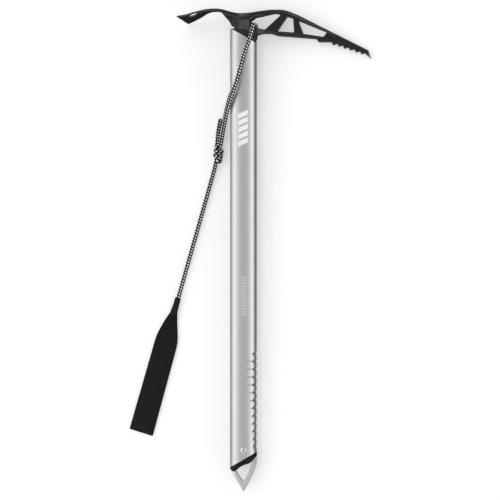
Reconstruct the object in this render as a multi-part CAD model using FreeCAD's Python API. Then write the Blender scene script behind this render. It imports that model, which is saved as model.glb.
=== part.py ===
import FreeCAD, Part
import math
import os

# Ice axe lying on its side, with its wrist leash laid out beside it. Millimetres.
#
# The metal parts are drawn in the axe frame: X towards the pick, Y up the shaft
# from the spike's point, Z out of the side that faces up when the axe lies down.
# lay_down() turns that frame into the row frame: floor at z = 0, +Y along the
# shaft towards the head, +X towards the pick.

Vec = FreeCAD.Vector

# Shaft: oval aluminium tube with slanted ends and a dented grip
SHAFT_HALF_X = 16.7
SHAFT_HALF_Z = 11.0
WALL = 1.5
CUT_SLOPE = 0.59
TOP_CUT_Y = 569.8
BOTTOM_CUT_Y = 40.0
GRIP_FIRST_Y = 57.6
GRIP_PITCH = 9.55
GRIP_COUNT = 13
GRIP_DEPTH = 1.6

# Head: adze, saddle, stem, pick and tang in one forging
STEM_HALF_Z = 8.0
EYE_WALL_X = 9.2
COLLAR = 4.0
TANG_GAP = 0.15
TANG_LENGTH = 62.0
TANG_ROOT = 1.5
ADZE_EDGE = (-79.0, 591.65)
ADZE_HALF_WIDTH = 30.0
ADZE_HOLE = (-64.5, 598.8)
ADZE_HOLE_R = 5.4
ADZE_HOLE_CHAMFER = 0.9
ADZE_THICK = 3.1
ADZE_SLOPE_DEG = 27.0
PICK_HALF_Z = 4.2
PICK_TIP_HALF_Z = 2.0
PICK_TIP = (160.2, 536.3)
PICK_TAPER_X = 60.0
WEB_RECESS = 1.5
TIP_RECESS = 0.5

# Spike, plug and rivet at the lower end
SPIKE_HALF_Z = 2.2
TANG_HALF_X = 9.0
TANG_TOP_Y = 66.0
RIVET_X = 2.5
RIVET_Y = 53.0
RIVET_SHANK_R = 2.5
RIVET_HEAD_R = 3.9
RIVET_HEAD_HEIGHT = 1.5
RIVET_SEAT = 1.0
RIVET_GAP = 0.05
PLUG_GAP = 0.1
PLUG_LIP = 8.0
PLUG_LIP_STAND = 0.3
PLUG_TOP_Y = 78.0
PLUG_BODY_LOW_Y = 18.0

# Where the row frame's origin lies, in the axe frame's X and Y
ORIGIN_X = 39.0
ORIGIN_Y = 302.4
LIFT = 0.05

# Leash, in the row frame. The cord's loop goes through the head's eye: one strand
# comes down over the shaft and the other under it, and both end in the knot.
# From the knot a single run goes to the wrist strap.
CORD_R = 2.6
ARC_SHARE = 0.45
LOOP = [
    (-71.9, 130.5, 10.4), (-66.8, 151.5, 15.2), (-58.7, 172.2, 26.4), (-49.2, 191.5, 34.4), (-40.1, 213.4, 37.4),
    (-34.7, 234.6, 37.0), (-29.3, 252.1, 35.0), (-25.1, 263.9, 33.8), (-23.2, 271.4, 32.6), (-22.6, 279.4, 29.8),
    (-24.2, 279.8, 21.0), (-24.2, 280.2, 8.6), (-25.4, 271.8, 5.4), (-28.6, 257.0, 5.8), (-36.0, 238.8, 5.4),
    (-46.5, 219.5, 4.9), (-59.4, 201.1, 4.9), (-65.7, 180.9, 5.4), (-69.5, 159.4, 6.4), (-73.9, 131.0, 5.0),
]
EYE_FIRST, EYE_LAST = 8, 13
TAIL = [(-75.4, 164.0, 2.8), (-78.4, 151.1, 2.8), (-79.1, 135.5, 3.6)]
KNOT = ((-75.2, 129.0, 6.3), (-78.0, 115.2, 6.3))
KNOT_R = 6.2
KNOT_GAP = 0.35
RUN = [(-78.6, 115.6, 6.0), (-83.2, 101.6, 2.9), (-131.6, -62.0, 2.7)]

# Wrist strap: flat webbing loop, two layers, with a sewn neck over the cord's end
STRAP_THICK = 3.2
STRAP = [
    (-142.6, -81.6), (-150.0, -91.0), (-160.6, -108.5), (-163.6, -116.9), (-197.8, -230.7),
    (-165.9, -238.5), (-133.3, -123.2), (-132.3, -114.0), (-133.2, -95.4), (-133.3, -81.8),
]
NECK_THICK = 5.5
NECK = [(-135.2, -61.2), (-142.6, -81.6), (-133.3, -81.8), (-128.0, -62.8)]

REACH = 60.0


def lines(points):
    """Straight edges through the points."""
    pairs = zip(points, points[1:])
    return [Part.makeLine(Vec(*a, 0), Vec(*b, 0)) for a, b in pairs]


def spline(points):
    """One smooth edge through the points."""
    curve = Part.BSplineCurve()
    curve.interpolate([Vec(*p, 0) for p in points])
    return curve.toShape()


def slab(edges, half):
    """Closed outline in the XY plane, made solid from z = -half to +half."""
    face = Part.Face(Part.Wire(edges))
    face.translate(Vec(0, 0, -half))
    return face.extrude(Vec(0, 0, 2 * half))


def polygon(points, half):
    return slab(lines(list(points) + [points[0]]), half)


def column(points, low_y, high_y):
    """Closed outline in the XZ plane, made solid between two heights."""
    ring = [Vec(x, low_y, z) for x, z in list(points) + [points[0]]]
    return Part.Face(Part.makePolygon(ring)).extrude(Vec(0, high_y - low_y, 0))


def mirrored(points):
    """Outline in XZ from its upper half, mirrored below z = 0."""
    return list(points) + [(x, -z) for x, z in reversed(points)]


def oval(y, left, right, half_z):
    """Horizontal oval of two half ellipses that meet at x = 0."""
    arcs = []
    for half_x, start in ((right, -math.pi / 2), (left, math.pi / 2)):
        ellipse = Part.Ellipse(Vec(half_x, y, 0), Vec(0, y, half_z), Vec(0, y, 0))
        arcs.append(Part.ArcOfEllipse(ellipse, start, start + math.pi).toShape())
    return Part.Wire(arcs)


def oval_column(levels, inset=0.0):
    """Solid through ovals, each given as height, left, right and half depth."""
    rings = [oval(y, left - inset, right - inset, z - inset) for y, left, right, z in levels]
    return Part.makeLoft(rings, True, True)


def beyond_cut(height, slope, side):
    """Everything above (side 1) or below (side -1) a slanted plane."""
    low = (-REACH, height - slope * REACH)
    high = (REACH, height + slope * REACH)
    far = side * 700
    return polygon([low, high, (REACH, high[1] + far), (-REACH, low[1] + far)], REACH)


def rivet_shank(radius, half):
    return Part.makeCylinder(radius, 2 * half, Vec(RIVET_X, RIVET_Y, -half), Vec(0, 0, 1))


# ---------------------------------------------------------------- shaft


def shaft_levels():
    """Ovals up the tube: even, then one dent after another, then even."""
    crest = (SHAFT_HALF_X, SHAFT_HALF_X, SHAFT_HALF_Z)
    dent = (SHAFT_HALF_X, SHAFT_HALF_X - GRIP_DEPTH, SHAFT_HALF_Z)
    levels = [(0, *crest), (GRIP_FIRST_Y - GRIP_PITCH / 2, *crest)]
    for i in range(GRIP_COUNT):
        middle = GRIP_FIRST_Y + i * GRIP_PITCH
        levels.append((middle, *dent))
        levels.append((middle + GRIP_PITCH / 2, *crest))
    levels.append((600, *crest))
    return levels


def shaft_tube():
    levels = shaft_levels()
    tube = oval_column(levels).cut(oval_column(levels, WALL))
    tube = tube.cut(beyond_cut(TOP_CUT_Y, -CUT_SLOPE, 1))
    tube = tube.cut(beyond_cut(BOTTOM_CUT_Y, CUT_SLOPE, -1))
    return tube.cut(rivet_shank(RIVET_SHANK_R + RIVET_GAP, REACH))


# ---------------------------------------------------------------- head

# Blade and saddle, from the cutting edge to the pick: x, crest height,
# half width, thickness at the crest, thickness at the sides, crown
BLADE = [
    (-79, 592.3, 30.0, 0.6, 0.6, 0.0),
    (-76, 594.6, 27.7, 2.0, 1.2, 0.9),
    (-70, 597.9, 23.0, 2.8, 1.8, 2.6),
    (-62, 601.2, 18.5, 3.1, 2.1, 3.2),
    (-54, 603.3, 14.0, 3.1, 2.1, 2.4),
    (-46, 604.7, 9.5, 3.0, 2.0, 1.2),
    (-38, 605.0, 7.0, 3.0, 2.2, 0.6),
    (-30, 604.3, 7.0, 4.0, 3.0, 0.4),
    (-22, 602.4, 7.5, 6.0, 5.0, 0.5),
    (-12, 599.4, 8.5, 7.0, 5.0, 0.8),
    (0, 597.9, 9.0, 7.0, 5.0, 1.0),
    (7, 598.1, 8.6, 7.0, 5.0, 1.0),
    (13, 598.7, 7.9, 7.0, 5.0, 1.0),
    (19, 599.5, 6.8, 6.8, 5.0, 0.8),
    (25, 600.3, 5.2, 6.5, 5.0, 0.6),
]


def blade_section(x, crest, half, middle, side, crown):
    """Crowned strip across the blade, in the plane at x."""
    def arc(top, drop):
        points = (Vec(x, top - drop, half), Vec(x, top, 0), Vec(x, top - drop, -half))
        return Part.Arc(*points).toShape() if drop > 0 else Part.makeLine(points[0], points[2])
    upper = arc(crest, crown)
    lower = arc(crest - middle, crown + side - middle)
    near = Part.makeLine(Vec(x, crest - crown - side, half), Vec(x, crest - crown, half))
    far = Part.makeLine(Vec(x, crest - crown, -half), Vec(x, crest - crown - side, -half))
    return Part.Wire([upper, far, lower, near])


def blade():
    """Adze and saddle in one smooth strip, with the adze's hole."""
    strip = Part.makeLoft([blade_section(*row) for row in BLADE], True, False)
    slope = math.radians(ADZE_SLOPE_DEG)
    normal = Vec(-math.sin(slope), math.cos(slope), 0)
    middle = Vec(*ADZE_HOLE, 0)
    strip = strip.cut(Part.makeCylinder(ADZE_HOLE_R, 20, middle - normal * 10, normal))
    for way in (1, -1):
        start = middle + normal * (way * (ADZE_THICK / 2 - ADZE_HOLE_CHAMFER))
        strip = strip.cut(Part.makeCone(ADZE_HOLE_R, ADZE_HOLE_R + 3, 3, start, normal * way))
    return strip


def stem():
    """Under the saddle: full oval at the tube, thinner towards the adze."""
    outline = [
        spline([(-28, 602.5), (-24.6, 595.8), (-19.6, 590.4), (-15.8, 585), (-14.6, 581.6)]),
        *lines([
            (-14.6, 581.6), (-SHAFT_HALF_X, TOP_CUT_Y + CUT_SLOPE * SHAFT_HALF_X),
            (SHAFT_HALF_X, TOP_CUT_Y - CUT_SLOPE * SHAFT_HALF_X),
        ]),
        *lines([
            (SHAFT_HALF_X, TOP_CUT_Y - CUT_SLOPE * SHAFT_HALF_X), (16.0, 564.6), (16.8, 569),
            (18.5, 575), (14, 580), (14, 596), (0, 595.6), (-12, 597.4), (-28, 602.5),
        ]),
    ]
    body = slab(outline, SHAFT_HALF_Z)
    plan = mirrored([(-40, 3), (-14, 4.5), (-3.5, STEM_HALF_Z), (11, STEM_HALF_Z), (20, 5.5)])
    upper = body.common(column(plan, 500, 620)).cut(beyond_cut(TOP_CUT_Y + COLLAR, -CUT_SLOPE, -1))
    tube = (SHAFT_HALF_X, SHAFT_HALF_X, SHAFT_HALF_Z)
    lower = body.common(oval_column([(540, *tube), (571, *tube), (579, 15.2, 13.6, 7.2)]))
    return upper.fuse(lower)


def tang():
    inset = WALL + TANG_GAP
    low = TOP_CUT_Y - TANG_LENGTH
    size = (SHAFT_HALF_X, SHAFT_HALF_X, SHAFT_HALF_Z)
    plug = oval_column([(low, *size), (600, *size)], inset)
    return plug.cut(beyond_cut(TOP_CUT_Y + TANG_ROOT, -CUT_SLOPE, 1))


def teeth():
    """Each tooth drops steeply on the shaft's side, then runs out gently."""
    valleys = [(111.3, 558.5), (118.9, 556.1), (125.7, 553.8), (132.9, 551.2),
               (140.0, 548.6), (146.8, 545.9), (152.4, 543.6)]
    points = [(112.9, 555.0), (120.0, 552.8), (126.8, 550.0), (133.9, 547.6),
              (141.1, 545.0), (148.1, 542.4), PICK_TIP]
    return [corner for pair in zip(valleys, points) for corner in pair]


def wedge(root_half, tip_half):
    """Plate that thins towards the pick's tip, seen from above."""
    tip_x = PICK_TIP[0]
    upper = [(-40, root_half), (PICK_TAPER_X, root_half), (tip_x, tip_half), (tip_x + 2, tip_half)]
    return column(mirrored(upper), 500, 640)


def windows():
    """Cord eye and the two lightening windows."""
    eye = [
        *lines([(EYE_WALL_X, 588.4), (EYE_WALL_X, 580.2)]),
        *lines([(EYE_WALL_X, 580.2), (11.5, 578.9), (22, 577.9), (27.7, 576.6), (47.4, 593.6)]),
        spline([(47.4, 593.6), (44, 595.4), (34.5, 594.9), (24, 593.1), (14, 591.3), (EYE_WALL_X, 588.4)]),
    ]
    second = [(55.7, 591.6), (63.3, 588.9), (64.6, 571.8), (43.3, 573.9)]
    third = [(70.1, 585.8), (105.4, 570.5), (101.4, 565.3), (76.2, 569.7)]
    return [slab(eye, REACH), polygon(second, REACH), polygon(third, REACH)]


def pick():
    outline = [
        spline([(2, 593), (12, 596), (22, 599), (32, 600.6), (42, 600.6), (51, 599.9), (59, 597.7)]),
        *lines([
            (59, 597.7), (70, 593), (157, 546.8), *reversed(teeth()), (95, 559), (92.7, 562.8),
            (42.5, 568.6),
        ]),
        spline([(42.5, 568.6), (37, 570.9), (29.6, 571.7), (22, 571.2), (14, 566.5)]),
        *lines([(14, 566.5), (5, 572), (2, 593)]),
    ]
    solid = slab(outline, REACH).common(wedge(PICK_HALF_Z, PICK_TIP_HALF_Z))
    pocket = slab([
        spline([(25, 596.6), (33, 597.6), (42, 597.6), (51, 596.8), (58, 594.9)]),
        *lines([
            (58, 594.9), (69, 590.2), (113, 566.9), (115, 564.2), (112.6, 561.6), (108.6, 561.2),
            (98.6, 563.9), (78.5, 568.4), (37, 573.2), (27, 574.6), (25, 596.6),
        ]),
    ], REACH)
    web = solid.common(pocket).common(wedge(PICK_HALF_Z - WEB_RECESS, PICK_TIP_HALF_Z - TIP_RECESS))
    return solid.cut(pocket).fuse(web)


def head():
    body = blade().fuse([stem(), pick(), tang()])
    for window in windows():
        body = body.cut(window)
    return body.removeSplitter()


# ---------------------------------------------------------------- lower end


def spike():
    """Open V of plate with a point below, and a tang inside the plug."""
    outer = [(0, 0), (-4.6, 8.4), (-9.2, 15.5), (-15.2, 24.3), (-15.6, 28.8),
             (-TANG_HALF_X, 40), (-TANG_HALF_X, TANG_TOP_Y), (TANG_HALF_X, TANG_TOP_Y),
             (TANG_HALF_X, 48), (16.4, 43), (16.2, 36), (14.3, 28.7), (7.4, 13.4), (3.2, 5.4)]
    plate = polygon(outer, SPIKE_HALF_Z)
    inner = [(-0.6, 14.2), (-2.2, 14.8), (-12.6, 30.6), (11.6, 39.0), (6.9, 24.0), (1.4, 14.7)]
    plate = plate.cut(polygon(inner, REACH))
    return plate.cut(rivet_shank(RIVET_SHANK_R + RIVET_GAP, REACH))


def spike_plug():
    """Lip under the tube's slanted end, and a body inside the tube."""
    wide = SHAFT_HALF_X + PLUG_LIP_STAND
    full = (wide, wide, SHAFT_HALF_Z + PLUG_LIP_STAND)
    lip = oval_column([(0, *full), (90, *full)])
    lip = lip.cut(beyond_cut(BOTTOM_CUT_Y, CUT_SLOPE, 1))
    lip = lip.cut(beyond_cut(BOTTOM_CUT_Y - PLUG_LIP, CUT_SLOPE, -1))
    size = (SHAFT_HALF_X, SHAFT_HALF_X - GRIP_DEPTH, SHAFT_HALF_Z)
    body = oval_column([(PLUG_BODY_LOW_Y, *size), (PLUG_TOP_Y, *size)], WALL + PLUG_GAP)
    body = body.cut(beyond_cut(BOTTOM_CUT_Y - PLUG_LIP, CUT_SLOPE, -1))
    plug = lip.fuse(body).removeSplitter()
    return plug.cut(spike()).cut(rivet_shank(RIVET_SHANK_R + RIVET_GAP, REACH))


def spike_rivet(tube):
    """Shank through tube, plug and tang, with a low dome on the tube at each end."""
    rivet = rivet_shank(RIVET_SHANK_R, SHAFT_HALF_Z)
    ball = (RIVET_HEAD_R ** 2 + RIVET_HEAD_HEIGHT ** 2) / (2 * RIVET_HEAD_HEIGHT)
    for side in (1, -1):
        top = SHAFT_HALF_Z + RIVET_HEAD_HEIGHT
        dome = Part.makeSphere(ball, Vec(RIVET_X, RIVET_Y, side * (top - ball)))
        low = Vec(RIVET_X, RIVET_Y, side * (SHAFT_HALF_Z - RIVET_SEAT))
        rim = Part.makeCylinder(RIVET_HEAD_R, REACH, low, Vec(0, 0, side))
        rivet = rivet.fuse(dome.common(rim))
    return rivet.cut(tube).removeSplitter()


# ---------------------------------------------------------------- placing


def resting_placement():
    """Turn the axe so that adze corner, pick tip and rivet head touch the floor."""
    corner = Vec(*ADZE_EDGE, -ADZE_HALF_WIDTH)
    tip = Vec(*PICK_TIP, -PICK_TIP_HALF_Z)
    rivet = Vec(RIVET_X, RIVET_Y, -SHAFT_HALF_Z - RIVET_HEAD_HEIGHT)
    up = (rivet - corner).cross(tip - corner).normalize()
    along = Vec(0, 1, 0)
    along = (along - up * along.dot(up)).normalize()
    across = along.cross(up)
    origin = Vec(ORIGIN_X, ORIGIN_Y, 0)
    origin = origin + up * ((corner - origin).dot(up) - LIFT)
    turned = FreeCAD.Matrix(
        across.x, across.y, across.z, -across.dot(origin),
        along.x, along.y, along.z, -along.dot(origin),
        up.x, up.y, up.z, -up.dot(origin),
        0, 0, 0, 1,
    )
    return FreeCAD.Placement(turned)


def lay_down(shape):
    laid = shape.copy()
    laid.Placement = resting_placement()
    return laid


# ---------------------------------------------------------------- leash


def bend(before, corner, after):
    """Arc that rounds one corner of a route: its ends, middle and radius."""
    back = before - corner
    ahead = after - corner
    turn = math.pi - back.getAngle(ahead)
    cut = ARC_SHARE * min(back.Length, ahead.Length)
    radius = cut / math.tan(turn / 2)
    start = corner + back.normalize() * cut
    end = corner + ahead.normalize() * cut
    middle = (back + ahead).normalize()
    reach = radius / math.cos(turn / 2) - radius
    return start, corner + middle * reach, end, radius


def route_wire(points):
    """Straight runs joined by tangent arcs through a cord's route."""
    route = [Vec(*point) for point in points]
    edges = []
    radii = []
    here = route[0]
    for before, corner, after in zip(route, route[1:], route[2:]):
        start, middle, end, radius = bend(before, corner, after)
        edges.append(Part.LineSegment(here, start).toShape())
        edges.append(Part.Arc(start, middle, end).toShape())
        radii.append(round(radius, 1))
        here = end
    edges.append(Part.LineSegment(here, route[-1]).toShape())
    return Part.Wire(edges), radii


def split(points, first, last):
    """One route as three that meet halfway along two of its runs."""
    route = [Vec(*point) for point in points]
    enter = (route[first - 1] + route[first]) * 0.5
    leave = (route[last] + route[last - 1]) * 0.5
    return route[:first] + [enter], [enter, *route[first:last], leave], [leave, *route[last:]]


def cord_tube(name, points):
    """Round cord along a route."""
    wire, radii = route_wire(points)
    first = Vec(*points[0])
    section = Part.Circle(first, Vec(*points[1]) - first, CORD_R).toShape()
    tube = wire.makePipeShell([Part.Wire([section])], True, True)
    expected = math.pi * CORD_R ** 2 * wire.Length
    print(name, "length %.1f" % wire.Length, "volume ratio %.3f" % (tube.Volume / expected), "radii", radii)
    return tube


def knot(radius):
    """Outer shape of the knot: a round-ended barrel lying on the floor."""
    start = Vec(*KNOT[0])
    end = Vec(*KNOT[1])
    barrel = Part.makeCylinder(radius, (end - start).Length, start, end - start)
    return barrel.fuse([Part.makeSphere(radius, start), Part.makeSphere(radius, end)]).removeSplitter()


def flat(points, thick):
    """Flat piece lying on the floor."""
    ring = [Vec(x, y, 0) for x, y in points + [points[0]]]
    return Part.Face(Part.makePolygon(ring)).extrude(Vec(0, 0, thick))


def leash():
    front, eye_turn, back = split(LOOP, EYE_FIRST, EYE_LAST)
    neck = flat(NECK, NECK_THICK)
    ball = knot(KNOT_R)
    return {
        "leash_strand_front": cord_tube("leash_strand_front", front).cut(ball),
        "leash_eye_turn": cord_tube("leash_eye_turn", eye_turn),
        "leash_strand_back": cord_tube("leash_strand_back", back).cut(ball),
        "leash_tail": cord_tube("leash_tail", TAIL).cut(ball),
        "leash_knot": ball,
        "leash_run": cord_tube("leash_run", RUN).cut(neck).cut(knot(KNOT_R + KNOT_GAP)),
        "strap_neck": neck,
        "wrist_strap": flat(STRAP, STRAP_THICK).cut(neck),
    }


def main():
    os.makedirs("parts", exist_ok=True)
    tube = shaft_tube()
    metal = {
        "head": head(),
        "shaft_tube": tube,
        "spike": spike(),
        "spike_plug": spike_plug(),
        "spike_rivet": spike_rivet(tube),
    }
    nodes = {name: lay_down(shape) for name, shape in metal.items()}
    nodes.update(leash())
    for name, shape in nodes.items():
        print(name, "valid", shape.isValid(), "solids", len(shape.Solids), "mm3", round(shape.Volume))
        shape.exportStep("parts/" + name + ".step")


main()
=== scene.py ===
import math

import bmesh
import bpy
import numpy as np
from mathutils import Matrix, Vector


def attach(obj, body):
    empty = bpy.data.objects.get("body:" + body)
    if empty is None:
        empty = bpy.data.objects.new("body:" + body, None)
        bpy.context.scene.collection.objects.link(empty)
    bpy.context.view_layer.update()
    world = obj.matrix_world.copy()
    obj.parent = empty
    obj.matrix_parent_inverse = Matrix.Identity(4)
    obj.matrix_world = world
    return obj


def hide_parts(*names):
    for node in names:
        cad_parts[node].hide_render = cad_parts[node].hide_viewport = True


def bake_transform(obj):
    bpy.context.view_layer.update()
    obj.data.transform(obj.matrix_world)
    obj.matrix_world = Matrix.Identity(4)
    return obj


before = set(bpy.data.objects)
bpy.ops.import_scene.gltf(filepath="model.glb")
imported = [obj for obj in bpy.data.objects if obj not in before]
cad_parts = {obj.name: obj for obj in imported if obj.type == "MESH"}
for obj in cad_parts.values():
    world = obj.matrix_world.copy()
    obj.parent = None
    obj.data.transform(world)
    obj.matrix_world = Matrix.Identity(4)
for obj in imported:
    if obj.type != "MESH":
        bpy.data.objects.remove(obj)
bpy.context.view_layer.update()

# Ice axe on its side with its wrist leash. The row frame is in metres and lies on the
# floor. The axe frame is in millimetres: X to the pick, Y up the shaft from the spike's
# point, Z out of the side that faces up. The shaft, ferrule and rivet are drawn in the
# axe frame. The leash is drawn in millimetres of the row frame.

MM = 0.001
HALF_X, HALF_Z, WALL = 16.7, 11.0, 1.5
CUT_SLOPE, TOP_CUT_Y, BOTTOM_CUT_Y = 0.59, 569.8, 40.0
GRIP_FIRST_Y, GRIP_PITCH, GRIP_COUNT = 57.6, 9.55, 13
RIVET_X, RIVET_Y = 2.5, 53.0
FLOOR_GAP = 0.05


# ------------------------------------------------------------------ placing


def resting_frame():
    """Axes and origin of the axe frame as it lies on adze corner, pick tip and rivet."""
    corner = np.array((-79.0, 591.65, -30.0))
    tip = np.array((160.2, 536.3, -2.0))
    rivet = np.array((RIVET_X, RIVET_Y, -12.5))
    up = np.cross(rivet - corner, tip - corner)
    up /= np.linalg.norm(up)
    along = np.array((0.0, 1.0, 0.0))
    along -= up * along.dot(up)
    along /= np.linalg.norm(along)
    origin = np.array((39.0, 302.4, 0.0))
    origin += up * ((corner - origin).dot(up) - FLOOR_GAP)
    return np.array((np.cross(along, up), along, up)), origin


TURN, ORIGIN = resting_frame()


def to_row(points):
    return (np.asarray(points, float) - ORIGIN) @ TURN.T * MM


def to_axe(points):
    return np.asarray(points, float) / MM @ TURN + ORIGIN


def smooth(value, low, high):
    """Rises smoothly from 0 at low to 1 at high."""
    t = np.clip((value - low) / (high - low), 0, 1)
    return t * t * (3 - 2 * t)


def between(value, rising, falling):
    """1 between two smooth ramps, each given by its two ends, and 0 outside them."""
    return smooth(value, *rising) * (1 - smooth(value, *falling))


def circle(count):
    """Angles of evenly spaced points round a circle."""
    return np.linspace(0, 2 * math.pi, count + 1)[:-1]


def reach_along(line):
    """How far along a line each of its points is."""
    gaps = np.linalg.norm(np.diff(line, axis=0), axis=1)
    return np.concatenate(([0], np.cumsum(gaps)))


def points_at(line, reach, far):
    """Points of a line at given distances along it."""
    return np.stack([np.interp(far, reach, column) for column in line.T], 1)


def running_mean(padded, width):
    """Mean over width neighbours on each side, of values padded by width at both ends."""
    return np.convolve(padded, np.ones(2 * width + 1) / (2 * width + 1), "valid")


# ------------------------------------------------------------------ camera

CAMERA_PLACE = (0.5080, -0.0259, 1.6276)
CAMERA_TARGET = (-0.0305, -0.00045, 0.01541)
CAMERA_UP = (0, 0.99988, 0.01575)
LENS = 97.92


def add(name, data):
    obj = bpy.data.objects.new(name, data)
    bpy.context.scene.collection.objects.link(obj)
    return obj


def aim(obj, position, target, up):
    """Puts a camera or light in its place, looking at a target."""
    back = (Vector(position) - Vector(target)).normalized()
    right = Vector(up).cross(back).normalized()
    axes = Matrix((right, back.cross(right), back)).transposed().to_4x4()
    obj.matrix_world = Matrix.Translation(position) @ axes


camera = add("camera", bpy.data.cameras.new("camera"))
camera.data.sensor_width = 36
camera.data.lens = LENS
aim(camera, CAMERA_PLACE, CAMERA_TARGET, CAMERA_UP)
bpy.context.scene.camera = camera


# ------------------------------------------------------------------ mesh helpers


def shade_smooth(mesh):
    mesh.polygons.foreach_set("use_smooth", [True] * len(mesh.polygons))


def skin(name, grid, loop_rows=False, caps=False, uv=None):
    """Mesh over rows of rings. uv holds two numbers a point, with one column more than the grid."""
    grid = np.asarray(grid, float)
    rows, cols = grid.shape[:2]
    faces, corners = [], []
    for i in range(rows if loop_rows else rows - 1):
        n = (i + 1) % rows
        for j in range(cols):
            k = (j + 1) % cols
            faces.append((i * cols + j, i * cols + k, n * cols + k, n * cols + j))
            corners += [(i, j), (i, j + 1), (i + 1, j + 1), (i + 1, j)]
    if caps:
        faces.append(tuple(reversed(range(cols))))
        faces.append(tuple((rows - 1) * cols + j for j in range(cols)))
        corners += [(0, j) for j in reversed(range(cols))] + [(rows - 1, j) for j in range(cols)]
    mesh = bpy.data.meshes.new(name)
    mesh.from_pydata(grid.reshape(-1, 3).tolist(), [], faces)
    if uv is not None:
        layer = mesh.uv_layers.new(name="detail")
        uv = np.asarray(uv, float)
        i, j = np.array(corners).T
        layer.data.foreach_set("uv", uv[np.minimum(i, uv.shape[0] - 1), j].ravel())
    shade_smooth(mesh)
    mesh.update()
    return add(name, mesh)


def edit(mesh, operation):
    """Runs one bmesh operation on a mesh."""
    work = bmesh.new()
    work.from_mesh(mesh)
    operation(work)
    work.to_mesh(mesh)
    work.free()


def outward(obj):
    """Points all faces outward."""
    edit(obj.data, lambda work: bmesh.ops.recalc_face_normals(work, faces=work.faces))


def sharp(obj, degrees):
    obj.data.set_sharp_from_angle(angle=math.radians(degrees))


def baked(obj):
    """Applies an object's modifiers."""
    graph = bpy.context.evaluated_depsgraph_get()
    mesh = bpy.data.meshes.new_from_object(obj.evaluated_get(graph))
    obj.modifiers.clear()
    obj.data = mesh
    return obj


def copied(node, name):
    """New piece with a CAD node's welded shape."""
    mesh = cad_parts[node].data.copy()
    mesh.name = name
    mesh.materials.clear()
    edit(mesh, lambda work: bmesh.ops.remove_doubles(work, verts=work.verts, dist=1e-6))
    return add(name, mesh)


def vertex_places(mesh):
    out = np.empty(len(mesh.vertices) * 3)
    mesh.vertices.foreach_get("co", out)
    return out.reshape(-1, 3)


def vertex_normals(mesh):
    out = np.empty(len(mesh.vertices) * 3)
    mesh.vertices.foreach_get("normal", out)
    return out.reshape(-1, 3)


def neighbour_mean(mesh, values):
    """Mean over each point's neighbours, a column for each of the values' columns."""
    edge = np.empty(len(mesh.edges) * 2, int)
    mesh.edges.foreach_get("vertices", edge)
    a, b = edge.reshape(-1, 2).T
    count = len(mesh.vertices)
    degree = np.bincount(a, minlength=count) + np.bincount(b, minlength=count)
    columns = []
    for line in np.atleast_2d(values.T):
        total = np.bincount(a, line[b], count) + np.bincount(b, line[a], count)
        columns.append(total / degree)
    return np.array(columns).T


def relaxed(obj, steps):
    """Rounds the edges of a dense mesh without shrinking it."""
    mesh = obj.data
    co = vertex_places(mesh)
    for step in range(steps):
        pull = 0.5 if step % 2 == 0 else -0.52
        co += pull * (neighbour_mean(mesh, co) - co)
    mesh.vertices.foreach_set("co", co.ravel())
    mesh.update()
    return co


def store(mesh, name, values):
    """Keeps a number for each point, for the material to read."""
    layer = mesh.attributes.new(name, "FLOAT", "POINT")
    layer.data.foreach_set("value", values.astype(np.float32))


def mark_wear_and_highlights(mesh, painted_highlight):
    """Stores how pale each point is: painted highlight where it is given, and wear where it stands
    proud.
    """
    proud_from, proud_to, proud_wear = 0.045, 0.13, 0.36
    co = vertex_places(mesh)
    around = neighbour_mean(mesh, neighbour_mean(mesh, neighbour_mean(mesh, co)))
    proud = ((co - around) * vertex_normals(mesh)).sum(1) / MM
    for _ in range(2):
        proud = neighbour_mean(mesh, proud)[:, 0]
    paleness = smooth(proud, proud_from, proud_to) * proud_wear
    store(mesh, "wear", np.maximum(paleness, painted_highlight))


def dress(obj, body, slot, material, *nodes):
    """Rides, paints and stands for CAD nodes."""
    obj.data.materials.clear()
    obj.data.materials.append(material)
    if body:
        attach(obj, body)
    if nodes:
        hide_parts(*nodes)
    return obj


# ------------------------------------------------------------------ shader helpers


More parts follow.
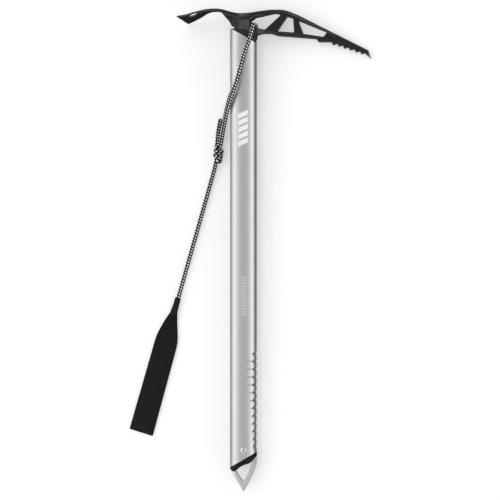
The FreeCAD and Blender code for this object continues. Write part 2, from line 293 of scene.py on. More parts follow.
class Finish:
    """A procedural material built node by node."""

    def __init__(self, name, color, roughness, metallic=0.0, **more):
        self.material = bpy.data.materials.new(name)
        self.material.use_nodes = True
        self.tree = self.material.node_tree
        self.shader = self.tree.nodes["Principled BSDF"]
        self.set("Base Color", (*color, 1))
        self.set("Roughness", roughness)
        self.set("Metallic", metallic)
        for key, value in more.items():
            self.set(key.replace("_", " "), value)

    def set(self, key, value):
        self.shader.inputs[key].default_value = value

    def feed(self, socket, value):
        if isinstance(value, bpy.types.NodeSocket):
            self.tree.links.new(value, socket)
        else:
            socket.default_value = value

    def node(self, kind, **settings):
        made = self.tree.nodes.new(kind)
        for key, value in settings.items():
            setattr(made, key, value)
        return made

    def math(self, operation, *values):
        made = self.node("ShaderNodeMath", operation=operation)
        for socket, value in zip(made.inputs, values):
            self.feed(socket, value)
        return made.outputs[0]

    def times(self, first, second):
        return self.math("MULTIPLY", first, second)

    def plus(self, first, second):
        return self.math("ADD", first, second)

    def minus(self, first, second):
        return self.math("SUBTRACT", first, second)

    def over(self, first, second):
        return self.math("DIVIDE", first, second)

    def place(self):
        return self.node("ShaderNodeTexCoord").outputs["Object"]

    def detail(self):
        """The two numbers of the detail UV map."""
        split = self.node("ShaderNodeSeparateXYZ")
        source = self.node("ShaderNodeUVMap", uv_map="detail")
        self.feed(split.inputs[0], source.outputs[0])
        return split.outputs[0], split.outputs[1]

    def noise(self, scale, detail=3.0, roughness=0.55, stretch=None):
        coordinates = self.place()
        if stretch:
            mapping = self.node("ShaderNodeMapping")
            self.feed(mapping.inputs["Vector"], coordinates)
            mapping.inputs["Scale"].default_value = stretch
            coordinates = mapping.outputs[0]
        made = self.node("ShaderNodeTexNoise")
        self.feed(made.inputs["Vector"], coordinates)
        made.inputs["Scale"].default_value = scale
        made.inputs["Detail"].default_value = detail
        made.inputs["Roughness"].default_value = roughness
        return made.outputs["Fac"]

    def spread(self, value, low, high, to_low=0.0, to_high=1.0):
        made = self.node("ShaderNodeMapRange", interpolation_type="SMOOTHSTEP")
        for socket, number in zip(made.inputs, (value, low, high, to_low, to_high)):
            self.feed(socket, number)
        return made.outputs[0]

    def mix(self, factor, first, second):
        made = self.node("ShaderNodeMix", data_type="RGBA")
        self.feed(made.inputs[0], factor)
        for socket, value in zip((made.inputs[6], made.inputs[7]), (first, second)):
            self.feed(socket, (*value, 1) if isinstance(value, tuple) else value)
        return made.outputs[2]

    def link(self, key, value):
        self.feed(self.shader.inputs[key], value)

    def bump(self, height, strength, distance):
        made = self.node("ShaderNodeBump")
        made.inputs["Strength"].default_value = strength
        made.inputs["Distance"].default_value = distance
        self.feed(made.inputs["Height"], height)
        before = self.shader.inputs["Normal"].links
        if before:
            self.feed(made.inputs["Normal"], before[0].from_socket)
        self.link("Normal", made.outputs[0])


# ------------------------------------------------------------------ leash cord

# The route's points, from the strap's neck through the knot's core, over the shaft, through
# the head's eye, back under the shaft, round the knot, and up to the tail's end. FLECK_WAY
# is where the sheath's seam is turned to.

CORD_R = 2.6
FLECK_PITCH, FLECK_ROWS, ROW_SHIFT = 3.6, 5.0, 0.2
FLECK_WAY = np.array((0.30, 0.0, 0.954))
RUN_UP = [(-131.6, -62.0, 2.7), (-88.0, 85.4, 2.75), (-83.2, 101.6, 3.2), (-79.6, 112.6, 5.4)]
CORE = [(-77.0, 124.0, 6.3)]
FRONT_UP = [
    (-72.4, 133.0, 9.6), (-66.8, 151.5, 15.2), (-58.7, 172.2, 26.4), (-49.2, 191.5, 34.4),
    (-40.1, 213.4, 37.4), (-34.7, 234.6, 37.0), (-29.3, 252.1, 35.0), (-25.1, 263.9, 33.8),
]
EYE_TURN = [
    (-23.2, 271.4, 32.6), (-22.8, 279.4, 30.2), (-23.6, 280.6, 21.0), (-25.6, 280.2, 8.4),
    (-28.4, 271.4, 6.0),
]
BACK_DOWN = [
    (-32.0, 256.0, 6.0), (-38.4, 238.4, 5.6), (-46.5, 219.5, 4.9), (-59.4, 201.1, 4.9),
    (-65.7, 180.9, 5.4), (-69.5, 159.4, 6.0), (-73.4, 135.0, 5.0),
]
TAIL_UP = [(-78.6, 126.0, 5.6), (-79.1, 137.0, 3.6), (-78.4, 151.1, 2.8), (-75.0, 167.0, 2.8)]


def knot_wraps():
    """Three slanted turns of the cord down the knot, the last one tighter and to one side."""
    down = np.array((-0.199, -0.980, 0.0))
    side = np.array((0.980, -0.199, 0.0))
    rise = np.array((0.0, 0.0, 1.0))
    top = np.array((-74.6, 130.4, 7.0))
    count, first_angle, angle_step = 27, 70, 42
    length, slant = 17.6, 1.9
    points = []
    for step in range(count):
        t = step / (count - 1)
        turn = math.radians(first_angle + angle_step * step)
        wide = 4.5 - 1.5 * smooth(t, 0.72, 1.0)
        across = side * (wide * math.cos(turn) + 1.2 * smooth(t, 0.6, 1.0))
        lean = across + rise * (4.1 - 0.9 * t) * math.sin(turn)
        along = length * t + slant * math.cos(turn)
        points.append(tuple(top + down * along + lean))
    return points


def nurbs_line(points):
    """Points of the smooth line through a cord's route, in millimetres."""
    curve = bpy.data.curves.new("route", "CURVE")
    curve.dimensions = "3D"
    curve.resolution_u = 24
    spline = curve.splines.new("NURBS")
    spline.points.add(len(points) - 1)
    for point, place in zip(spline.points, points):
        point.co = (*[c * MM for c in place], 1)
    spline.order_u = 3
    spline.use_endpoint_u = True
    holder = add("route", curve)
    graph = bpy.context.evaluated_depsgraph_get()
    mesh = bpy.data.meshes.new_from_object(holder.evaluated_get(graph))
    line = np.array([v.co for v in mesh.vertices]) / MM
    bpy.data.objects.remove(holder)
    return line


def evenly(line, step):
    """Points of a line at equal steps, and how far along each is."""
    reach = reach_along(line)
    far = np.linspace(0, reach[-1], int(reach[-1] / step) + 1)
    return points_at(line, reach, far), far


def carried_frames(points, face):
    """Two cross directions all along a line, the first turned smoothly towards face."""
    tangent = np.gradient(points, axis=0)
    tangent /= np.linalg.norm(tangent, axis=1)[:, None]
    side = np.empty_like(points)
    now = np.cross(tangent[0], face)
    for i, t in enumerate(tangent):
        now = now - t * now.dot(t)
        now /= np.linalg.norm(now)
        side[i] = now
    other = np.cross(tangent, side)
    steep = 0.75
    level = np.abs(tangent @ face) < steep
    angle = np.arctan2(other @ face, side @ face)
    angle = np.interp(np.arange(len(points)), np.flatnonzero(level), np.unwrap(angle[level]))
    width = 30
    angle = running_mean(np.pad(angle, width, mode="edge"), width)
    turn_c, turn_s = np.cos(angle)[:, None], np.sin(angle)[:, None]
    return side * turn_c + other * turn_s, other * turn_c - side * turn_s


def braided_tube(name, line, radius, around=36, step=0.36, relief=0.17):
    """Cord with a braided surface and rounded ends."""
    points, far = evenly(line, step)
    face, side = carried_frames(points, FLECK_WAY)
    turn = np.linspace(0, 2 * math.pi, around + 1)
    strands = 6
    u, v = np.meshgrid(turn, far / FLECK_PITCH)
    one_way = np.abs(np.sin(strands * u / 2 + math.pi * v))
    weave = one_way + np.abs(np.sin(strands * u / 2 - math.pi * v))
    end = np.minimum(far, far[-1] - far)
    cap = np.sqrt(np.clip(1 - (1 - np.minimum(end / (radius * 0.8), 1)) ** 2, 0.004, 1))
    r = (radius - relief + relief * weave * 0.9) * cap[:, None]
    ring = face[:, None, :] * np.cos(u)[..., None] + side[:, None, :] * np.sin(u)[..., None]
    grid = (points[:, None, :] + ring * r[..., None])[:, :-1] * MM
    uv = np.stack((u / (2 * math.pi), v), 2)
    return skin(name, grid, caps=True, uv=uv)


def cord_finish():
    """Black sheath with five rows of white flecks, each row a fifth of a step on from the last."""
    made = Finish("cord_braid", (0.014, 0.014, 0.015), 0.85, Specular_IOR_Level=0.2)
    u, v = made.detail()
    rows = made.plus(made.times(u, FLECK_ROWS), 0.28)
    row = made.math("FLOOR", rows)
    across = made.minus(made.minus(rows, row), 0.5)
    shift = made.times(row, ROW_SHIFT)
    along = made.minus(made.math("FRACT", made.plus(v, shift)), 0.5)
    first = made.math("POWER", made.over(made.math("ABSOLUTE", across), 0.27), 2.0)
    second = made.math("POWER", made.over(made.math("ABSOLUTE", along), 0.265), 2.0)
    fleck = made.spread(made.plus(first, second), 1.15, 0.8)
    fray = made.noise(2600.0, 2.0)
    yarn = made.spread(fray, 0.35, 0.7, 0.75, 1.0)
    white = made.mix(yarn, (0.80, 0.80, 0.79), (0.97, 0.97, 0.95))
    black = made.mix(fray, (0.005, 0.005, 0.0055), (0.014, 0.014, 0.015))
    made.link("Base Color", made.mix(fleck, black, white))
    wound = made.plus(made.times(u, 340.0), made.times(v, 18.0))
    threads = made.math("SINE", wound)
    made.bump(threads, 0.5, 0.00008)
    made.bump(fray, 0.4, 0.00012)
    return made.material


ROUTE = RUN_UP + CORE + FRONT_UP + EYE_TURN + BACK_DOWN + knot_wraps() + TAIL_UP
cord_line = nurbs_line(ROUTE)
leash_cord = braided_tube("leash_cord", cord_line, CORD_R)
dress(
    leash_cord, None, "cord", cord_finish(),
    "leash_eye_turn", "leash_strand_front", "leash_strand_back", "leash_tail", "leash_run", "leash_knot",
)
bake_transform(leash_cord)


# ------------------------------------------------------------------ wrist strap

# The webbing's two long edges as they lie, from the neck to the fold.

LEFT_EDGE = [(-142.6, -81.0), (-150.0, -91.0), (-160.6, -108.5), (-163.6, -116.9), (-197.8, -230.7)]
RIGHT_EDGE = [(-133.3, -81.2), (-133.2, -95.4), (-132.3, -114.0), (-133.3, -123.2), (-165.9, -238.5)]
STRAP_THICK = 1.35
STRAP_WIDTH = 0.032
EDGE_SOFT, UNDER_HEIGHT, LAYER_GAP = 5, 0.85, 0.25
STRAP_ROWS, STRAP_COLS = 150, 41
WARP_PITCH, RIB_PITCH = 0.00125, 0.0017


def rounded_line(corners, count, soft):
    """Polyline resampled evenly with its corners softened, and its length."""
    line = np.array(corners, float)
    reach = reach_along(line)
    line = points_at(line, reach, np.linspace(0, reach[-1], count))
    width = max(int(soft / reach[-1] * count), 1)
    steps = np.arange(1, width + 1)[:, None]
    before = np.repeat(line[:1], width, 0) - (line[1] - line[0]) * steps[::-1]
    after = np.repeat(line[-1:], width, 0) + (line[-1] - line[-2]) * steps
    padded = np.concatenate((before, line, after))
    return np.stack([running_mean(column, width) for column in padded.T], 1), reach[-1]


def strap_surface(rows, cols):
    """Middle surface of the webbing loop, under layer, fold and upper layer, and its length."""
    left, length = rounded_line(LEFT_EDGE, rows, EDGE_SOFT)
    right, _ = rounded_line(RIGHT_EDGE, rows, EDGE_SOFT)
    v = np.linspace(0, 1, rows)
    u = np.linspace(0, 1, cols)
    flat = left[:, None] * (1 - u)[None, :, None] + right[:, None] * u[None, :, None]
    near = 1 - smooth(v * length, 3, 42)
    pleat = np.cos(2 * math.pi * (2.6 * u[None] + 0.12)) * near[:, None] * 0.8
    body = between(v, (0.05, 0.35), (0.72, 1.0))
    bow = (1 - (2 * u - 1) ** 2)[None] * body[:, None] * 0.5
    ripple = np.sin(v * 19 + 1.1)[:, None] * (2 * u - 1)[None] * 0.10
    low = np.full((rows, cols), UNDER_HEIGHT)
    high = low + STRAP_THICK + LAYER_GAP + near[:, None] * 0.9 + bow + pleat + ripple
    under = np.concatenate((flat, low[..., None]), 2)
    upper = np.concatenate((flat, high[..., None]), 2)
    ahead = (flat[-1] - flat[-2]).mean(0)
    ahead /= np.linalg.norm(ahead)
    fold = []
    for t in np.linspace(0.12, 0.88, 7) * math.pi:
        middle = (low[-1] + high[-1]) / 2
        half = (high[-1] - low[-1]) / 2
        place = flat[-1] + ahead * (half * math.sin(t))[:, None]
        fold.append(np.concatenate((place, (middle - half * math.cos(t))[:, None]), 1))
    return np.concatenate((under, np.array(fold), upper[::-1])), length


def thickened(surface, thick):
    """Closed band about a middle surface, with rounded long edges."""
    along = np.gradient(surface, axis=0)
    across = np.gradient(surface, axis=1)
    normal = np.cross(across, along)
    normal /= np.linalg.norm(normal, axis=2)[..., None]
    half = thick / 2
    u = np.linspace(0, 1, surface.shape[1])
    width = np.linalg.norm(surface[:, -1] - surface[:, 0], axis=1).mean()
    edge = np.minimum(u, 1 - u) * width / half
    swell = np.sqrt(np.clip(1 - (1 - np.minimum(edge, 1)) ** 2, 0.02, 1))[None, :, None]
    top = surface + normal * half * swell
    bottom = surface - normal * half * swell
    return np.concatenate((top, bottom[:, ::-1]), 1)


def webbing_finish(name, dark, light):
    """Flat woven webbing: fine ribs across, broken into warp columns."""
    made = Finish(name, dark, 0.9, Specular_IOR_Level=0.25)
    u, v = made.detail()
    warp = made.times(u, 1 / WARP_PITCH)
    column = made.math("FLOOR", warp)
    lift = made.math("ABSOLUTE", made.math("SINE", made.times(warp, math.pi)))
    shift = made.times(made.math("MODULO", column, 2.0), 0.5)
    rib = made.plus(made.times(v, 1 / RIB_PITCH), shift)
    rib = made.math("ABSOLUTE", made.math("SINE", made.times(rib, math.pi)))
    height = made.times(lift, rib)
    cloud = made.noise(90.0, 4.0)
    fuzz = made.noise(3000.0, 2.0)
    tone = made.plus(made.times(height, 0.55), made.times(cloud, 0.45))
    made.link("Base Color", made.mix(tone, dark, light))
    made.bump(height, 0.75, 0.00022)
    made.bump(fuzz, 0.35, 0.00008)
    return made.material


surface, strap_length = strap_surface(STRAP_ROWS, STRAP_COLS)
band = thickened(surface, STRAP_THICK)
across_strap = np.linspace(0, STRAP_WIDTH, STRAP_COLS)
across_strap = np.concatenate((across_strap, across_strap[::-1], across_strap[:1]))
along_strap = np.arange(band.shape[0]) * (2 * strap_length * MM / band.shape[0])
strap_uv = np.stack(np.meshgrid(across_strap, along_strap), 2)
wrist_strap = skin("wrist_webbing", band * MM, caps=True, uv=strap_uv)
outward(wrist_strap)
webbing = webbing_finish("strap_webbing", (0.0035, 0.0035, 0.004), (0.0125, 0.0125, 0.014))
dress(wrist_strap, "leash", "webbing", webbing, "wrist_strap")


def neck_sleeve():
    """Webbing sewn into a sleeve round the cord's end."""
    top, bottom = np.array((-131.5, -61.4)), np.array((-138.1, -83.6))
    down = (bottom - top) / np.linalg.norm(bottom - top)
    side = np.array((down[1], -down[0])) * -1
    middle_height, ring_points, row_count = 2.85, 48, 46
    rows, uv = [], []
    turn = np.linspace(0, 2 * math.pi, ring_points + 1)
    for t in np.linspace(0, 1, row_count):
        middle = top + (bottom - top) * t
        half = 3.75 + 1.05 * smooth(t, 0.25, 1.0)
        thick = 2.75 - 0.45 * smooth(t, 0.5, 1.0)
        lip = math.sqrt(max(1 - (1 - min(t / 0.05, 1)) ** 2, 0))
        half, thick = half * (0.72 + 0.28 * lip), thick * (0.72 + 0.28 * lip)
        crease = 0.16 * np.cos(5 * turn + 6 * t) * smooth(t, 0.1, 0.6) + 0.10 * math.cos(t * 24)
        c, s = np.cos(turn), np.sin(turn)
        x = np.sign(c) * np.abs(c) ** 0.75 * (half + crease)
        z = np.sign(s) * np.abs(s) ** 0.85 * (thick + crease * 0.5)
        place = middle[None] + side[None] * x[:, None]
        rows.append(np.concatenate((place, (z + middle_height)[:, None]), 1)[:-1])
        uv.append(np.stack((turn * 0.0032, np.full_like(turn, t * 0.023)), 1))
    return skin("neck_sleeve", np.array(rows) * MM, caps=True, uv=np.array(uv))


neck = neck_sleeve()
outward(neck)
neck_cloth = webbing_finish("neck_cloth", (0.006, 0.006, 0.0065), (0.022, 0.022, 0.024))
dress(neck, "leash", "neck_webbing", neck_cloth, "strap_neck")


# ------------------------------------------------------------------ shaft

# The white marks, in millimetres of the axe frame: a row of slanted blocks high on the
# shaft, and a row of ticks lower down.

BLOCKS_FROM, BLOCKS_TO, BLOCK_PITCH, BLOCK_SLOPE = 431.6, 474.6, 8.6, -0.45
TICKS_FROM, TICKS_TO, TICK_PITCH = 221.0, 270.0, 3.5


def notch_depth(x, y):
    """How far the grip is pressed in at each point, and how near it is to a crease's bottom, where the
    material paints shade.
    """
    crease_depth, scallop_depth = 0.6, 0.9
    depth = np.zeros_like(x)
    line = np.zeros_like(x)
    for k in range(GRIP_COUNT):
        inner = 14.0 - 1.05 * k if k < GRIP_COUNT - 1 else 12.0
        inner = max(inner, 4.2)
        tilt = math.tan(math.radians(-24 + 3.0 * k))
        height = GRIP_FIRST_Y + GRIP_PITCH * k + (HALF_X - x) * tilt * smooth(HALF_X - x, 0, 3)
        gap = np.abs(y - height)
        edge = smooth(x, 12.0, HALF_X)
        narrow = np.exp(-(gap / 0.7) ** 2) * crease_depth
        wide = np.clip(1 - gap / (GRIP_PITCH / 2), 0, 1) ** 1.8 * edge * scallop_depth
        reach = smooth(x, inner - 0.8, inner + 2.6)
        depth = np.maximum(depth, narrow * reach + wide)
        line = np.maximum(line, np.exp(-(gap / 0.6) ** 2) * reach)
    return depth, line


def tube_rows(half_x, half_z, turn):
    """Rings up the tube, level in the middle and slanted at the two cut ends."""
    grip_low, grip_high, grip_step = 50.5, 184.0, 0.55
    plain_top, plain_rows = 559.0, 40
    grip = np.arange(grip_low, grip_high, grip_step)
    levels = np.concatenate((grip, np.linspace(grip_high, plain_top, plain_rows)))
    x, z = half_x * np.cos(turn), half_z * np.sin(turn)
    rows = []
    for share in (0.0, 0.02, 0.25, 0.5, 0.75):
        rows.append((BOTTOM_CUT_Y + CUT_SLOPE * x) * (1 - share) + levels[0] * share)
    rows += [np.full_like(x, y) for y in levels]
    for share in (0.75, 0.5, 0.25, 0.02, 0.0):
        rows.append((TOP_CUT_Y - CUT_SLOPE * x) * (1 - share) + levels[-1] * share)
    grid = []
    for y in rows:
        press = notch_depth(x, y)[0]
        shrink_x = 1 - press / half_x
        shrink_z = 1 - press * 0.75 / half_z
        grid.append(np.stack((x * shrink_x, y, z * shrink_z), 1))
    return np.array(grid)


def shaft_finish():
    """Blasted, anodised aluminium with plain white marks and painted shade along the grip's crease
    bottoms.
    """
    made = Finish("blasted_aluminium", (0.70, 0.70, 0.705), 0.36, 1.0)
    u, v = made.detail()
    grain = made.noise(1700.0, 3.0, 0.6)
    drawn = made.noise(60.0, 3.0, 0.5, stretch=(14.0, 0.35, 14.0))
    tone = made.plus(made.times(grain, 0.35), made.times(drawn, 0.65))
    metal = made.mix(tone, (0.655, 0.655, 0.66), (0.745, 0.745, 0.75))

    def inside(value, low, high):
        """1 between low and high, with edges a quarter of a millimetre soft."""
        soft = 0.12
        up = made.spread(value, low - soft, low + soft)
        return made.times(up, made.spread(value, high + soft, high - soft))

    slant = made.plus(v, made.times(u, BLOCK_SLOPE))
    blocks_up = made.minus(slant, BLOCKS_FROM)
    step = made.math("FRACT", made.over(blocks_up, BLOCK_PITCH))
    block = made.times(made.spread(step, 0.08, 0.11), made.spread(step, 0.83, 0.80))
    field = made.times(inside(u, -4.7, 7.7), inside(slant, BLOCKS_FROM, BLOCKS_TO))
    large = made.times(field, block)
    ticks_up = made.minus(v, TICKS_FROM)
    tick = made.math("FRACT", made.over(ticks_up, TICK_PITCH))
    thin = made.times(made.spread(tick, 0.10, 0.16), made.spread(tick, 0.46, 0.40))
    field = made.times(inside(u, -0.6, 5.6), inside(v, TICKS_FROM, TICKS_TO))
    small = made.times(field, thin)
    mark = made.math("MAXIMUM", large, made.times(small, 0.55))
    # Painted shade: the grip's crease bottoms are darkened.
    crease = made.node("ShaderNodeAttribute", attribute_name="crease").outputs["Fac"]
    metal = made.mix(made.times(crease, 0.75), metal, (0.20, 0.20, 0.205))
    made.link("Base Color", made.mix(mark, metal, (0.88, 0.88, 0.88)))
    made.link("Metallic", made.minus(1.0, made.times(mark, 0.9)))
    made.link("Roughness", made.spread(grain, 0.3, 0.75, 0.42, 0.50))
    made.bump(grain, 0.12, 0.00006)
    return made.material


ring = circle(144)
outer = tube_rows(HALF_X, HALF_Z, ring)
inner = tube_rows(HALF_X - WALL, HALF_Z - WALL, ring)
shell = np.concatenate((outer, inner[::-1]))
full = np.concatenate((shell, shell[:, :1]), 1)
shaft = skin("shaft", to_row(shell), loop_rows=True, uv=np.stack((full[..., 0], full[..., 1]), 2))
outward(shaft)
sharp(shaft, 40)
# Painted shade along the grip's crease bottoms, stored for the material to darken.
_, crease_shade = notch_depth(shell[..., 0].ravel(), shell[..., 1].ravel())
store(shaft.data, "crease", crease_shade)
dress(shaft, "axe", "blasted_aluminium", shaft_finish(), "shaft_tube")


# ------------------------------------------------------------------ head

# The adze's half width along X, and the height of the pick's upper edge along X.

BLADE_X = (-79, -76, -70, -62, -54, -46, -38, -30)
BLADE_HALF = (30, 27.7, 23, 18.5, 14, 9.5, 7, 7)
CREST_X = (51, 59, 70, 157, 161)
CREST_Y = (599.9, 597.7, 593, 546.8, 536.3)
VOXEL = 0.00042
PANEL_DEPTH = 0.9
# How pale the painted highlights on the stem's facet, the bar's root and the brow are.
FACET_HIGHLIGHT, ROOT_HIGHLIGHT, BROW_HIGHLIGHT = 0.16, 0.24, 0.17


def forged_head():
    """The head with rounded forged edges, a shallow panel under the adze, its worn places and its
    painted highlights.
    """
    head = copied("head", "axe_head")
    modifier = head.modifiers.new("even", "REMESH")
    modifier.mode = "VOXEL"
    modifier.voxel_size = VOXEL
    baked(head)
    co = relaxed(head, 6)
    mesh = head.data
    place = to_axe(co)
    normal = vertex_normals(mesh) @ TURN
    down_side = np.array((0.454, -0.891, 0.0))
    under = smooth(normal @ down_side, 0.35, 0.7)
    x, z = place[:, 0], np.abs(place[:, 2])
    half = np.interp(x, BLADE_X, BLADE_HALF)
    panel = under * smooth(half - z, 2.2, 2.9) * smooth(x, -76.8, -75.8)
    panel *= 1 - smooth(x, -41.0, -37.0)
    place -= normal * (panel * PANEL_DEPTH)[:, None]
    crest = np.interp(x, CREST_X, CREST_Y)
    below = (crest - place[:, 1]) * np.interp(x, (59, 75), (0.97, 0.88))
    slope = np.clip(1 - below / 2.6, 0, 1) * smooth(x, 52, 66)
    place[:, 2] -= np.sign(place[:, 2]) * np.minimum(slope * 1.5, z * 0.6)
    mesh.vertices.foreach_set("co", to_row(place).ravel())
    mesh.update()
    x, y = place[:, 0], place[:, 1]
    # Painted highlights: pale patches on the upward faces of the stem's facet, the bar's root and the
    # brow.
    level = smooth(vertex_normals(mesh) @ TURN[2], 0.93, 0.985)
    facet = between(x, (-4.5, -3.0), (10.0, 11.5)) * between(y, (572, 576), (586, 591))
    root = between(x, (15.5, 17.5), (24.0, 30.0)) * between(y, (566, 570), (577, 579))
    brow_edge = np.interp(x, (-4, 13, 26), (590.5, 594, 596.5))
    brow = between(x, (-6, -3), (23, 26)) * smooth(y - brow_edge, 0, 1)
    lit = np.maximum(facet * FACET_HIGHLIGHT, np.maximum(root * ROOT_HIGHLIGHT, brow * BROW_HIGHLIGHT)) * level
    # Painted highlight: a pale line along the adze's rim, where its rounded edge catches the light. Both
    # kinds are stored with the wear.
    rim_highlight_line = np.exp(-((half - place[:, 2] - 1.9) / 0.75) ** 2)
    rim_highlight = under * rim_highlight_line * between(x, (-77, -75), (-46, -40))
    mark_wear_and_highlights(mesh, np.maximum(lit, rim_highlight))
    shade_smooth(mesh)
    mesh.update()
    return head


def steel_finish():
    """Black coating on forged steel, rubbed paler on its edges, with painted highlights on some upward
    faces and along the adze's rim.
    """
    made = Finish("black_coated_steel", (0.010, 0.010, 0.011), 0.40, 0.0, Specular_IOR_Level=0.34)
    peel = made.noise(1100.0, 3.0)
    cloud = made.noise(55.0, 4.0)
    # The wear attribute holds real edge wear and painted highlights alike; both pale the coat.
    paleness = made.node("ShaderNodeAttribute", attribute_name="wear").outputs["Fac"]
    paleness = made.times(paleness, made.spread(cloud, 0.25, 0.6, 0.55, 1.0))
    coat = made.mix(cloud, (0.005, 0.0052, 0.006), (0.011, 0.0115, 0.0125))
    made.link("Base Color", made.mix(paleness, coat, (0.42, 0.42, 0.43)))
    made.link("Roughness", made.spread(cloud, 0.3, 0.7, 0.34, 0.44))
    made.bump(peel, 0.14, 0.00007)
    return made.material


head = forged_head()
dress(head, "axe", "black_steel", steel_finish(), "head")


# ------------------------------------------------------------------ lower end


def plug_piece():
    """Moulded ferrule: slanted top against the tube, scooped lower edge."""
    turn = circle(96)
    ends_x = (-17.4, -16.0, -13.0, -10.5, -6.0, -2.0, 4.0, 10.3, 13.0, 15.5, 17.6)
    ends_y = (29.4, 27.0, 25.4, 26.0, 29.4, 32.2, 34.8, 36.4, 38.4, 41.4, 45.4)
    proud = 0.45
    wide_x, wide_z = HALF_X + proud, HALF_Z + proud
    x, z = wide_x * np.cos(turn), wide_z * np.sin(turn)
    top = BOTTOM_CUT_Y + CUT_SLOPE * x
    low = np.interp(x, ends_x, ends_y)
    rows = [np.stack((x * 0.9, top, z * 0.86), 1)]
    sides = (
        (0.0, 0.965), (0.04, 0.99), (0.12, 1.0), (0.5, 1.0), (0.8, 0.985), (0.93, 0.95), (0.985, 0.89),
    )
    for share, press in sides:
        y = top + (low - top) * share
        rows.append(np.stack((x * press, y, z * press), 1))
    for press in (0.7, 0.45, 0.2, 0.03):
        rows.append(np.stack((x * (0.86 + 0.03 * press), low + 0.2, z * press * 0.86), 1))
    return skin("ferrule", to_row(np.array(rows)), caps=True)


def plastic_finish():
    """Black moulded plastic, slightly cloudy."""
    made = Finish("moulded_plastic", (0.005, 0.005, 0.006), 0.45, Specular_IOR_Level=0.2)
    grain = made.noise(900.0, 2.0)
    cloud = made.noise(120.0, 3.0)
    made.link("Base Color", made.mix(cloud, (0.003, 0.003, 0.0035), (0.007, 0.007, 0.008)))
    made.link("Roughness", made.spread(cloud, 0.3, 0.7, 0.40, 0.52))
    made.bump(grain, 0.15, 0.00006)
    return made.material


ferrule = plug_piece()
outward(ferrule)
sharp(ferrule, 50)
dress(ferrule, "axe", "black_plastic", plastic_finish(), "spike_plug")


def spike_finish():
    """Bare ground steel with fine lines across the plate."""
    made = Finish("spike_steel", (0.70, 0.70, 0.70), 0.42, 1.0)
    lines = made.noise(170.0, 4.0, 0.6, stretch=(1.0, 16.0, 1.0))
    cloud = made.noise(70.0, 3.0)
    made.link("Base Color", made.mix(cloud, (0.76, 0.76, 0.765), (0.88, 0.88, 0.88)))
    made.link("Roughness", made.spread(lines, 0.3, 0.7, 0.36, 0.50))
    made.bump(lines, 0.10, 0.00005)
    return made.material


def spike_piece():
    """Plate spike with softened edges."""
    spike = copied("spike", "spike_plate")
    flat = math.radians(2)
    edit(spike.data, lambda work: bmesh.ops.dissolve_limit(
        work, angle_limit=flat, verts=work.verts, edges=work.edges,
    ))
    bevel = spike.modifiers.new("edge", "BEVEL")
    bevel.width = 0.0005
    bevel.segments = 3
    bevel.limit_method = "ANGLE"
    bevel.angle_limit = math.radians(25)
    baked(spike)
    shade_smooth(spike.data)
    sharp(spike, 35)
    return spike


dress(spike_piece(), "axe", "spike_steel", spike_finish(), "spike")


def rivet_piece():
    """Shank and two domed heads, turned about one axis."""
    dome = [
        (3.9, 10.1), (3.95, 10.9), (3.85, 11.25), (3.5, 11.6), (2.9, 12.0), (2.2, 12.27),
        (1.4, 12.43), (0.6, 12.5), (0.02, 12.5),
    ]
    profile = dome[::-1] + [(2.5, 10.0), (2.5, -10.0)] + [(r, -z) for r, z in dome]
    turn = circle(40)
    rows = []
    for r, z in profile:
        x = RIVET_X + r * np.cos(turn)
        y = RIVET_Y + r * np.sin(turn)
        rows.append(np.stack((x, y, np.full_like(turn, z)), 1))
    return skin("rivet", to_row(np.array(rows)), caps=True)


def rivet_finish():
    """Polished steel with light wear."""
    made = Finish("rivet_steel", (0.74, 0.74, 0.74), 0.24, 1.0)
    wear = made.noise(600.0, 3.0)
    made.link("Roughness", made.spread(wear, 0.3, 0.7, 0.2, 0.32))
    made.bump(wear, 0.08, 0.00004)
    return made.material


rivet = rivet_piece()
outward(rivet)
sharp(rivet, 45)
dress(rivet, "axe", "rivet_metal", rivet_finish(), "spike_rivet")


# ------------------------------------------------------------------ floor and light

FLOOR_HALF, FLOOR_Z = 9, -0.0002


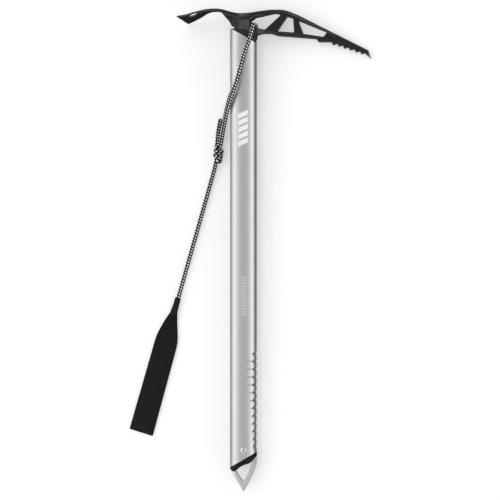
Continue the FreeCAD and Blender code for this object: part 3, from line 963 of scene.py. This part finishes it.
def floor():
    """Flat paper, lit a little from within so that it stays pale."""
    mesh = bpy.data.meshes.new("floor")
    signs = ((-1, -1), (1, -1), (1, 1), (-1, 1))
    corners = [(x * FLOOR_HALF, y * FLOOR_HALF, FLOOR_Z) for x, y in signs]
    mesh.from_pydata(corners, [], [(0, 1, 2, 3)])
    ground = add("floor", mesh)
    made = Finish("floor_paper", (0.72, 0.72, 0.72), 0.95, Specular_IOR_Level=0.0)
    cloud = made.noise(3.0, 2.0)
    made.link("Base Color", made.mix(cloud, (0.715, 0.715, 0.715), (0.725, 0.725, 0.725)))
    made.set("Emission Color", (1, 1, 1, 1))
    made.set("Emission Strength", 0.33)
    ground.data.materials.append(made.material)
    ground.visible_glossy = False


def softbox(name, place, size, watts):
    """Soft rectangular light turned to the middle of the axe."""
    light = bpy.data.lights.new(name, "AREA")
    light.shape = "RECTANGLE"
    light.size, light.size_y = size
    light.energy = watts
    lamp = add(name, light)
    aim(lamp, place, (0, 0, 0), (0, 1, 0))
    return lamp


def studio():
    """Pale surroundings, greyer overhead and dark at the horizon and below."""
    world = bpy.data.worlds.new("studio")
    bpy.context.scene.world = world
    world.use_nodes = True
    tree = world.node_tree
    split = tree.nodes.new("ShaderNodeSeparateXYZ")
    place = tree.nodes.new("ShaderNodeTexCoord")
    ramp = tree.nodes.new("ShaderNodeValToRGB")
    tree.links.new(place.outputs["Generated"], split.inputs[0])
    tree.links.new(split.outputs["Z"], ramp.inputs[0])
    stops = ((0.0, 0.10), (0.02, 0.95), (0.25, 0.90), (0.75, 0.55), (1.0, 0.48))
    elements = ramp.color_ramp.elements
    elements[0].position = stops[0][0]
    elements[1].position = stops[-1][0]
    for height, _ in stops[1:-1]:
        elements.new(height)
    for element, (_, grey) in zip(elements, stops):
        element.color = (grey, grey, grey, 1)
    tree.links.new(ramp.outputs[0], tree.nodes["Background"].inputs[0])
    tree.nodes["Background"].inputs[1].default_value = 1.0


floor()
studio()
softbox("left_box", (-1.25, 0.0, 1.0), (0.8, 2.4), 6.0)
softbox("right_box", (1.45, 0.0, 0.60), (0.8, 2.4), 6.0)
top_box = softbox("top_box", (0.2, 0.3, 3.0), (3.0, 3.0), 22)
top_box.visible_glossy = False

scene = bpy.context.scene
scene.view_settings.view_transform = "Standard"
scene.view_settings.look = "None"
